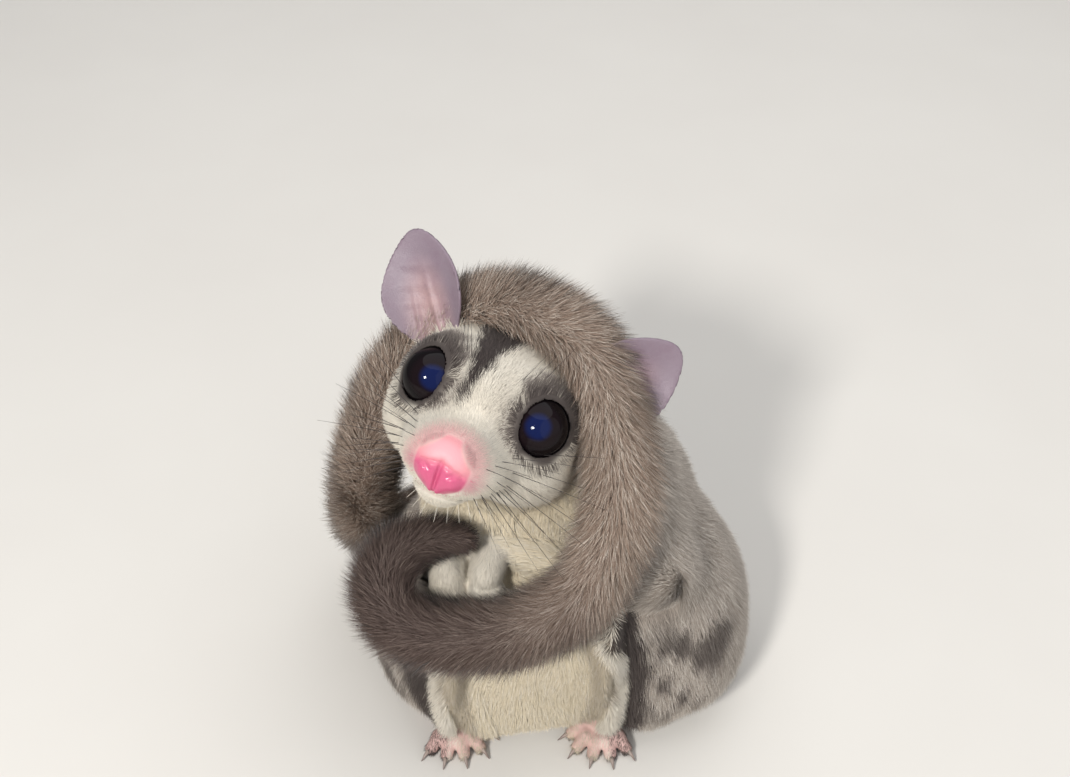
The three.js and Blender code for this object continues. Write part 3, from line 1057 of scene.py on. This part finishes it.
def membrane_marks(p, wave, clear):
    """The membranes' white edge, the dark band outside it and the grey fold inside it."""
    x, y, z = p.T
    beyond = np.abs(x - BELLY_MID) - MEMBRANE_OUT - fringe_line(z)
    seam = clear * ramp(y, -11, -14) * ramp(z, 32, 29)
    fringe = seam * ramp(np.abs(beyond), 1.1, 0.6)
    band = seam * ramp(np.abs(beyond - 2.6 + 0.4 * ragged(p, wave)), 2.5, 1.4) * (1 - fringe)
    fold = 0.4 * seam * ramp(np.abs(beyond + 2.6), 2.4, 0.8)
    return fringe, band, fold


def ragged(p, wave):
    x, _, z = p.T
    return 0.7 * wave + 0.5 * np.sin(1.9 * z) + 0.4 * np.sin(3.1 * z + 2 * x)


def flank_marks(p, wave, tail):
    """The dark mottling and the dark spot low on each flank."""
    x, y, z = p.T
    out = np.abs(x - BELLY_MID)
    cell = np.sin(1.1 * y + 1.3 * wave) + np.sin(0.9 * z + 0.7 * x) + 0.9 * np.sin(1.7 * x - 0.8 * z)
    patch = ramp(np.hypot(out - 21, 0.9 * (z - 16)), 9, 4) * ramp(y, -7, -12) * (1 - tail)
    mottle = patch * ramp(cell, -0.8, 0.7)
    spot = ramp(np.hypot(out - 27.5, z - 18.5) + 0.4 * ragged(p, wave), 3.6, 1.6)
    return mottle, spot * ramp(y, -6, -10) * (1 - tail)


def ear_roots(q):
    """The pinker hollow of each ear above its root."""
    marks = np.zeros(len(q))
    for side in SIDES.values():
        across, cupped, along = ear_frame(q, side)
        hollow = ramp(np.hypot(across, 9 * (along - 0.3)), 5, 1) * ramp(cupped, -0.1, 0.2)
        marks = np.maximum(marks, hollow)
    return 0.6 * marks


def markings(p, parts):
    """Every marking at each point, by name."""
    q = to_head(p)
    torso, ears, tail = body_fields(parts)
    head = ramp(parts["head"] - torso, 2.5, -2.5) * (1 - tail)
    stripe, rings, rims, flush, pad, deep = face_marks(q)
    x, y, z = p.T
    wave = 0.6 * np.sin(0.5 * x + 0.31 * z) + 0.4 * np.sin(0.9 * z - 0.4 * y)
    face = head * ramp(q[:, 1] + 0.6 * wave, -14, -11) * ramp(q[:, 1] + q[:, 2], -16, -9)
    belly = ramp(y + 0.35 * np.abs(x - BELLY_MID) + 1.2 * wave, -4, -9) * (1 - head) * (1 - tail)
    belly = belly * ramp(np.abs(x - BELLY_MID) + wave, MEMBRANE_OUT + 1.5, MEMBRANE_OUT - 1)
    throat = ramp(q[:, 2], -4, -8) * ramp(y, 2, -4) * (1 - tail)
    throat = throat * ramp(z + 0.6 * wave, 29, 34) * ramp(np.abs(x - HAND_MID - 4 + wave), 15, 11)
    lilac = ramp(ears - np.minimum(parts["head"], torso), 0.4, -0.6) * (1 - tail)
    paw, hands = hand_marks(p, parts, wave, tail)
    midline = np.interp(z, [8, 30, 42, 53], [6, 4, 1.5, -5.5])
    spine = ramp(np.abs(x - midline) + 0.5 * wave, 3.2, 1.6)
    spine = spine * ramp(y, 8, 14) * ramp(z, 8, 24) * (1 - tail)
    fringe, band, fold = membrane_marks(p, wave, (1 - tail) * (1 - head))
    mottle, spot = flank_marks(p, wave, tail)
    return {
        "tail": tail,
        "dusk": tail * ramp(parts["tail_share"] + 0.012 * wave, 0.66, 0.86),
        "cream": np.maximum.reduce([belly, throat * (1 - face), fringe, hands]),
        "white": np.maximum.reduce([face * (1 - flush * 0.4), fringe, hands]),
        "smoke": np.maximum(rings * head * 0.85, fold),
        "dark": np.maximum.reduce(
            [stripe * head, 0.9 * rims * head, 0.85 * spine, 0.95 * band, 0.82 * mottle, 0.8 * spot]
        ),
        "pink": head * np.maximum(pad, 0.6 * flush),
        "deep": deep,
        "lilac": lilac,
        "ear_root": ear_roots(q),
        "paw": paw,
        "bare": np.maximum.reduce([lilac, 0.9 * (1 - hands) * paw, head * pad]),
    }


# The coat.

def head_lie(q):
    """Back from the nose, and round the eyes away from them."""
    lay = np.zeros(q.shape)
    lay[:, 0] = 0.05 * q[:, 0]
    lay[:, 1] = -1
    lay[:, 2] = -0.04 * np.abs(q[:, 0]) * (q[:, 2] < 3)
    for side in SIDES.values():
        w = q - eye_middle(side)
        _, height, out = eye_offset(q, side)
        away = unit(w - height[:, None] * eye_axis(side))
        lay += (1.6 * ramp(out, 7.5, 4.2) * (height > -2))[:, None] * away
    return unit(lay) @ HEAD_TURN.T


def tail_lie(share):
    place = np.clip(share, 0, 1) * (TAIL_SAMPLES - 1)
    low = np.clip(place.astype(int), 0, TAIL_SAMPLES - 2)
    return mix(TAIL_WAY[low], TAIL_WAY[low + 1], (place - low)[:, None])


def trunk_lie(p):
    lay = np.zeros(p.shape)
    lay[:, 0] = 0.012 * (p[:, 0] - BODY_MID)
    lay[:, 1] = np.where(p[:, 1] > 0, 0.25, -0.1)
    lay[:, 2] = -1
    return lay


def lie_of_coat(p, parts, region, nearest):
    """The way in which the coat lies at each point, before it is laid along the skin."""
    lay = trunk_lie(p)
    lay = np.where(np.isin(region, ("face", "crown"))[:, None], head_lie(to_head(p)), lay)
    lay = np.where((region == "tail")[:, None], tail_lie(parts["tail_share"]), lay)
    for word, side in SIDES.items():
        elbow, wrist = forearm_ends(side)
        ways = {
            "forearm": unit(wrist - elbow),
            "hand": unit(np.array([0, -0.7, -0.7])),
            "foot": np.array([0, -1.0, 0]),
            "hind_leg": unit(np.array([0, -0.35, -1])),
        }
        for name, way in ways.items():
            lay = np.where((nearest == f"{name}_{word}")[:, None], way, lay)
    return lay


COAT = {
    # name: tufts per square millimetre, length, width, lift at the root in degrees
    "face": (42, 1.9, 0.13, 17),
    "crown": (34, 3.0, 0.16, 22),
    "trunk": (32, 3.6, 0.17, 21),
    "haunch": (36, 3.2, 0.16, 19),
    "arm": (30, 3.0, 0.17, 24),
    "membrane": (34, 1.8, 0.14, 18),
    "fringe": (54, 2.1, 0.14, 52),
    "belly": (36, 2.7, 0.15, 15),
    "hand": (44, 1.4, 0.11, 20),
    "foot": (30, 0.9, 0.09, 14),
    "tail": (44, 5.6, 0.16, 36),
}


COAT_OF_PART = {
    "trunk": "trunk",
    "neck": "trunk",
    "tail": "tail",
    "hind_leg": "haunch",
    "upper_arm": "arm",
    "forearm": "arm",
    "membrane": "membrane",
    "hand": "hand",
    "foot": "foot",
}


def coat_regions(p, parts):
    """Which kind of coat grows at each point, or none on bare skin, and the part it grows on."""
    names = [n for n in parts if n != "tail_share"]
    index = np.argmin([parts[n] for n in names], axis=0)
    nearest = np.array(names)[index]
    kinds = [COAT_OF_PART.get(n.replace("_left", "").replace("_right", ""), "") for n in names]
    region = np.array(kinds)[index]
    out = np.abs(p[:, 0] - BELLY_MID)
    belly = (region == "trunk") & (p[:, 1] < -8) & (out < MEMBRANE_OUT)
    region = np.where(belly, "belly", region)
    edge = np.abs(out - MEMBRANE_OUT - fringe_line(p[:, 2])) < 0.9
    edge &= (p[:, 1] < -13.5) & (p[:, 2] < 30) & (p[:, 2] > 3)
    region = np.where(edge & (region == "membrane"), "fringe", region)
    head = nearest == "head"
    q = to_head(p)
    region = np.where(head, np.where(q[:, 1] > -6, "face", "crown"), region)
    bald = head & (NOSE_FORM(q) < 0.35) & (outside_pad(q) < 0)
    for side in SIDES.values():
        away, height, out = eye_offset(q, side)
        bald |= head & ((away < EYE_RADIUS + 0.55) | (out < LID_RING + 0.2)) & (height > 0)
    return np.where(bald, "", region), nearest


def grown(points, quads, normals, rng):
    """Roots over the skin, as close as each kind of coat grows, with the skin's normal at each."""
    tris = np.vstack([quads[:, [0, 1, 2]], quads[:, [0, 2, 3]]])
    tris = tris[np.argsort(tris[:, 0], kind="stable")]
    a, b, c = (points[tris[:, i]] for i in range(3))
    area = np.linalg.norm(np.cross(b - a, c - a), axis=1) / 2
    middle = (a + b + c) / 3
    region, _ = coat_regions(middle, part_skins(middle))
    density = np.zeros(len(tris))
    for kind, (count, *_) in COAT.items():
        density[region == kind] = count
    run = np.cumsum(area * density)
    picks = np.arange(0, run[-1] - 1) + rng.random(int(math.ceil(run[-1] - 1)))
    tri = np.searchsorted(run, picks)
    u, v = rng.random((2, len(tri)))
    over = u + v > 1
    u, v = np.where(over, 1 - u, u), np.where(over, 1 - v, v)
    share = np.column_stack([1 - u - v, u, v])
    at = np.einsum("nk,nkd->nd", share, points[tris[tri]])
    return at, unit(np.einsum("nk,nkd->nd", share, normals[tris[tri]]))


SPIKE = np.array([(0, 2, 3), (2, 1, 3), (1, 0, 3)])
SPIKE_ALONG = np.array([0, 0, 0, 1.0])
SPIKE_PATCH = np.array([(-1, -1), (1, -1), (0, -1), (0, 1)])


def tufts(root, normal, lay, length, width, lift):
    """Three-sided spikes with a low ridge outwards. Their normals lean little from the skin's."""
    side = unit(np.cross(lay, normal))
    root = root - ROOT_SUNK * normal
    way = unit(lay * np.cos(lift)[:, None] + normal * np.sin(lift)[:, None])
    half = side * (width / 2)[:, None]
    ridge = normal * (width * 0.45)[:, None]
    corners = [root - half, root + half, root + ridge, root + way * length[:, None]]
    tilt = [unit(normal - 0.5 * side), unit(normal + 0.5 * side), normal, normal]
    return np.stack(corners, 1), np.stack(tilt, 1)


def unwrap(piece, p, share):
    """The place of a root on an unwrap of its part of the skin, both from 0 to 1."""
    if piece.startswith("tail"):
        low = np.clip((share * (TAIL_SAMPLES - 1)).astype(int), 0, TAIL_SAMPLES - 2)
        way = TAIL_WAY[low]
        level = unit(np.cross(way, np.array([0.3, -0.5, 0.8])))
        rise = np.cross(way, level)
        out = p - TAIL_LINE[low]
        angle = np.arctan2((out * rise).sum(1), (out * level).sum(1))
        height = share
    elif piece in ("face", "crown"):
        q = to_head(p)
        angle = np.arctan2(q[:, 0], -(q[:, 2] + 3))
        height = q[:, 1]
    else:
        centre = p.mean(0)
        angle = np.arctan2(p[:, 0] - centre[0], p[:, 1] - centre[1])
        height = p[:, 2]
    height = (height - height.min()) / np.ptp(height)
    return UV_EDGE + (1 - 2 * UV_EDGE) * np.column_stack([angle / (2 * np.pi) + 0.5, height])


def lay_out(piece, at, faces):
    """The bake map: each tuft is a small patch at its root's place."""
    uv = (at[:, None] + UV_PATCH * SPIKE_PATCH[None]).reshape(-1, 2)
    layer = piece.data.uv_layers.new(name="OFBake")
    layer.data.foreach_set("uv", uv[faces.ravel()].astype(np.float32).ravel())


def piece_names(region, p, share):
    """Which coat piece each root belongs to."""
    left = p[:, 0] > BODY_MID
    tail = np.select(
        [share < 0.2, share < 0.4, share < 0.6, share < 0.8],
        ["tail_base", "tail_rise", "tail_nape", "tail_cheek"],
        "tail_end",
    )
    trunk = np.where(p[:, 1] < 3, "front", np.where(left, "back_left", "back_right"))
    names = np.where(region == "tail", tail, region)
    names = np.where(np.isin(region, ("trunk", "belly")), trunk, names)
    names = np.where(region == "haunch", np.where(left, "haunch_left", "haunch_right"), names)
    names = np.where(np.isin(region, ("arm", "membrane", "fringe")), "arms", names)
    return np.where(np.isin(region, ("hand", "foot")), "paws", names)


SLOTS = {"face": "face", "crown": "face", "paws": "paw", "tail": "tail"}


def tuft_sizes(p, region, share):
    """Each tuft's length, width and lift, shorter towards the nose and where the tail is thin."""
    length = np.zeros(len(p))
    width = np.zeros(len(p))
    lift = np.zeros(len(p))
    for kind, (_, kind_length, kind_width, kind_lift) in COAT.items():
        own = region == kind
        length[own] = kind_length
        width[own] = kind_width
        lift[own] = radians(kind_lift)
    forward = to_head(p)[:, 1]
    face = region == "face"
    length = np.where(face, np.interp(forward, [-6, 4, 12], [2.4, 1.7, 0.8]), length)
    width = np.where(face, np.interp(forward, [-6, 4, 12], [0.19, 0.15, 0.1]), width)
    room = tail_radius(share) * (1 - TAIL_FLESH)
    return np.where(region == "tail", length * room / TAIL_ROOM, length), width, lift


def coat(points, quads, normals, surface):
    rng = np.random.default_rng(SEED)
    root, normal = grown(points, quads, normals, rng)
    parts = part_skins(root)
    share = parts["tail_share"]
    region, nearest = coat_regions(root, parts)
    lay = lie_of_coat(root, parts, region, nearest)
    count = len(root)
    x, y, z = root.T
    swirl = 0.16 * np.sin(0.55 * x + 0.35 * z) + 0.12 * np.sin(0.8 * y - 0.5 * z + 1)
    side = unit(np.cross(lay, normal))
    stray = swirl + rng.normal(0, 0.15, count) * np.where(region == "tail", 2.8, 1.0)
    lay = lay + side * stray[:, None]
    lay = unit(lay - normal * (lay * normal).sum(1)[:, None])
    length, width, lift = tuft_sizes(root, region, share)
    length = length * (0.78 + 0.4 * rng.random(count))
    width = width * (0.75 + 0.5 * rng.random(count))
    lift = lift * (0.6 + 0.8 * rng.random(count))
    tone = rng.random(count)
    marks = markings(root + rng.normal(0, MARK_FRAY, root.shape), parts)
    names = piece_names(region, root, share)
    for name in np.unique(names[region != ""]):
        own = np.nonzero(names == name)[0]
        shape, tilt = tufts(root[own], normal[own], lay[own], length[own], width[own], lift[own])
        keep = clear_tips(shape[:, -1])
        shape, tilt, own = shape[keep], tilt[keep], own[keep]
        shape[:, :, 2] = np.maximum(shape[:, :, 2], TUFT_FLOOR)
        corners = shape.shape[1]
        faces = (SPIKE[None] + corners * np.arange(len(shape))[:, None, None]).reshape(-1, 3)
        values = {mark: np.repeat(marks[mark][own], corners) for mark in COAT_MARKS}
        values["tone"] = np.repeat(tone[own], corners)
        values["along"] = np.tile(SPIKE_ALONG, len(shape))
        slot = SLOTS.get(name.split("_")[0], "coat")
        ends = shape.reshape(-1, 3)
        piece = mesh_piece(f"coat_{name}", ends, faces, surface, slot, tilt.reshape(-1, 3), values)
        lay_out(piece, unwrap(name, root[own], share[own]), faces)


def clear_tips(tips):
    """True for tufts whose tips stay near the outside of the skin, and out of the eyes."""
    q = to_head(tips)
    clear = skin(tips) > -TIP_SUNK
    for side in SIDES.values():
        clear &= eye_offset(q, side)[0] > EYE_RADIUS + 0.12
    return clear


# Eyes, claws and whiskers.

def tube(line, radii, sides=6):
    """A closed tapering tube along a line of points, ending in a point."""
    line = np.asarray(line, float)
    way = unit(np.gradient(line, axis=0))
    level = unit(np.cross(way, np.array([0.31, 0.52, 0.79])))
    rise = np.cross(way, level)
    turns = np.arange(sides) * 2 * np.pi / sides
    ring = np.cos(turns)[None, :, None] * level[:, None] + np.sin(turns)[None, :, None] * rise[:, None]
    rings = line[:, None] + ring * np.asarray(radii)[:, None, None]
    count = len(line)
    points = np.vstack([rings.reshape(-1, 3), line[:1], line[-1:]])
    faces = []
    for i in range(count - 1):
        for j in range(sides):
            a, b = i * sides + j, i * sides + (j + 1) % sides
            faces += [(a, b, b + sides), (a, b + sides, a + sides)]
    start, end = count * sides, count * sides + 1
    for j in range(sides):
        k = (j + 1) % sides
        faces += [(start, k, j), (end, start - sides + j, start - sides + k)]
    along = np.concatenate([np.repeat(np.linspace(0, 1, count), sides), [0, 1]])
    return points, np.array(faces), along


def bundle(name, tubes, surface, slot, marks=None):
    """Many tubes joined in one piece, with a value of each mark for each tube."""
    points = []
    faces = []
    alongs = []
    offset = 0
    for p, f, along in tubes:
        points.append(p)
        faces.append(f + offset)
        alongs.append(along)
        offset += len(p)
    values = {"along": np.concatenate(alongs)}
    for mark, shares in (marks or {}).items():
        values[mark] = np.concatenate([np.full(len(p), s) for (p, _, _), s in zip(tubes, shares)])
    mesh_piece(name, np.vstack(points), np.vstack(faces), surface, slot, marks=values)


def eyeball(side, word, surface):
    """A smooth ball with a slight corneal bulge, looking up at the viewer."""
    rings = 48
    sides = 64
    tilt = np.linspace(0, np.pi, rings + 1)[1:-1]
    turn = np.arange(sides) * 2 * np.pi / sides
    axis = eye_axis(side)
    level = unit(np.cross(axis, np.array([0, 0, 1.0])))
    rise = np.cross(level, axis)
    a, b = np.meshgrid(tilt, turn, indexing="ij")
    ways = (np.sin(a) * np.cos(b))[..., None] * level + (np.sin(a) * np.sin(b))[..., None] * rise
    ways = ways + np.cos(a)[..., None] * axis
    ways = np.vstack([ways.reshape(-1, 3), axis, -axis])
    bulge = CORNEA_BULGE * ramp(ways @ axis, 0.6, 1.0)
    points = eye_middle(side) + ways * (EYE_RADIUS + bulge)[:, None]
    viewer = unit(to_head(np.array([CAMERA_AT]))[0] - eye_middle(side))
    gaze = unit(mix(viewer, axis, 0.1))
    off_axis = EYE_RADIUS * np.arccos(np.clip(ways @ gaze, -1, 1))
    faces = []
    for i in range(rings - 2):
        for j in range(sides):
            k = (j + 1) % sides
            a, b, c, d = i * sides + j, i * sides + k, (i + 1) * sides + k, (i + 1) * sides + j
            faces += [(a, d, c), (a, c, b)]
    top = (rings - 1) * sides
    for j in range(sides):
        k = (j + 1) % sides
        faces += [(top, j, k), (top + 1, top - sides + k, top - sides + j)]
    faces = np.array(faces)
    points = from_head(points)
    marks = {"off_axis": off_axis}
    piece = mesh_piece(f"eyeball_{word}", points, outward(points, faces), surface, "eye", marks=marks)
    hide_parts(f"eye_{word}")


def outward(points, faces):
    """The faces, turned over if the closed shape's volume comes out negative."""
    a, b, c = (points[faces[:, i]] for i in range(3))
    middle = points.mean(0)
    volume = np.einsum("nd,nd->", a - middle, np.cross(b - middle, c - middle))
    return faces if volume > 0 else faces[:, ::-1]


def claws(surface):
    made = []
    share = np.linspace(0, 1, 7)[:, None]
    arch = np.array([0, 0, 0.45]) * np.sin(np.pi * share)
    radii = mix(CLAW_THICK, CLAW_POINT, share[:, 0] ** 1.3)
    for side in SIDES.values():
        for one in toes(side) + fingers(side):
            start, end = one["claw"]
            line = mix(start, end, share) + arch
            line[:, 2] = np.maximum(line[:, 2], CLAW_FLOOR)
            made.append(tube(line, radii, 8))
    bundle("claws", made, surface, "paw")


def whisker(start, way, length, droop, thick):
    """A whisker from a place on the head, in the head's frame, that curves back and down."""
    share = np.linspace(0, 1, 14)[:, None]
    bend = np.array([0, -0.25 * length, -droop])
    line = np.asarray(start) + way * length * share + bend * share**2
    return tube(from_head(line), mix(thick, WHISKER_POINT, share[:, 0]), 5)


def muzzle_whiskers(side, rng):
    """Four rows, the longest at the back."""
    made = []
    for row in range(4):
        for place in range(5):
            start = (
                side * (2.9 + 0.42 * place + 0.25 * row),
                10.6 - 1.35 * place,
                -4.6 - 1.05 * row + 0.12 * place,
            )
            out = side * (0.95 + 0.1 * rng.random())
            way = unit(np.array([out, 0.62 - 0.22 * place, 0.42 - 0.32 * row]))
            length = (8 + 2.3 * place) * (0.8 + 0.35 * rng.random())
            made.append(whisker(start, way, length, 0.8 + 0.1 * length, WHISKER_THICK))
    return made


def brow_whiskers(side):
    made = []
    for place in range(3):
        start = (side * (3.2 + 1.1 * place), 1.6 - place, 4.2)
        way = unit(np.array([side * 0.35, 0.35 - 0.2 * place, 1.0]))
        made.append(whisker(start, way, 8.5, 0.5, WHISKER_THIN))
    return made


def chin_whiskers(side):
    made = []
    for place in range(5):
        start = (side * (0.5 + 0.8 * place), 9.5 - 1.1 * place, -10.4)
        way = unit(np.array([side * (0.15 + 0.2 * place), 0.5, -1.0]))
        made.append(whisker(start, way, 4.2, 0.4, WHISKER_THIN))
    return made


def whiskers(surface):
    """All of them in one piece. Those of the chin are pale."""
    rng = np.random.default_rng(SEED + 1)
    made = []
    pale = []
    for side in SIDES.values():
        dark = muzzle_whiskers(side, rng) + brow_whiskers(side)
        light = chin_whiskers(side)
        made += dark + light
        pale += [0.0] * len(dark) + [1.0] * len(light)
    bundle("whiskers", made, surface, "face", {"pale": pale})


# The stage.

def floor(surface):
    turns = np.arange(FLOOR_SIDES) * 2 * np.pi / FLOOR_SIDES
    points = FLOOR_RADIUS * MM * np.column_stack([np.cos(turns), np.sin(turns), 0 * turns])
    mesh = bpy.data.meshes.new("floor")
    mesh.from_pydata(points.tolist(), [], [tuple(range(FLOOR_SIDES))])
    mesh.materials.append(surface)
    piece = bpy.data.objects.new("floor", mesh)
    bpy.context.scene.collection.objects.link(piece)


def lamp(name, place, size, power, colour=(1, 1, 1)):
    """A round area light that faces the animal's middle."""
    light = bpy.data.lights.new(name, "AREA")
    light.shape = "DISK"
    light.size = size
    light.energy = power
    light.color = colour
    piece = bpy.data.objects.new(name, light)
    bpy.context.scene.collection.objects.link(piece)
    place = to_scene(place)
    z = unit(place - to_scene(LIT_POINT))
    x = unit(np.cross(np.array([0, 0, 1.0]), z))
    y = np.cross(z, x)
    way = Matrix(np.column_stack([x, y, z]).tolist())
    piece.matrix_world = Matrix.Translation(place) @ way.to_4x4()


def lights():
    lamp("key", (-230, -420, 420), 0.10, 3.3, (1.0, 0.98, 0.95))
    lamp("fill", (380, -300, 260), 0.90, 1.4, (0.98, 0.99, 1.0))
    lamp("top", (60, 160, 480), 0.70, 1.7)
    world = bpy.data.worlds.new("studio")
    world.use_nodes = True
    sky = world.node_tree.nodes["Background"].inputs
    sky["Color"].default_value = (0.93, 0.95, 1.0, 1)
    sky["Strength"].default_value = 0.30
    bpy.context.scene.world = world
    bpy.context.scene.view_settings.view_transform = "Standard"


def camera():
    lens = bpy.data.cameras.new("camera")
    lens.sensor_width = SENSOR
    lens.lens = SENSOR * FOCAL_SHARE
    piece = bpy.data.objects.new("camera", lens)
    bpy.context.scene.collection.objects.link(piece)
    turn = Matrix.Rotation(radians(90 - CAMERA_UP), 4, "X")
    piece.matrix_world = Matrix.Translation(to_scene(CAMERA_AT)) @ turn
    bpy.context.scene.camera = piece


def build():
    axes = [lines(*span) for span in GRID]
    points, quads = surface_net(sampled(axes), axes)
    points, normals = settled(points, quads)
    marks = markings(points, part_skins(points))
    body = mesh_piece("skin", points, quads, skin_surface(), "coat", normals, marks)
    flesh = [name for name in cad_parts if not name.startswith("eye")]
    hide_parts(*flesh)
    coat(points, quads, normals, coat_surface())
    shine = eye_surface()
    for word, side in SIDES.items():
        eyeball(side, word, shine)
    claws(claw_surface())
    whiskers(whisker_surface())


camera()
lights()
floor(floor_surface())
build()
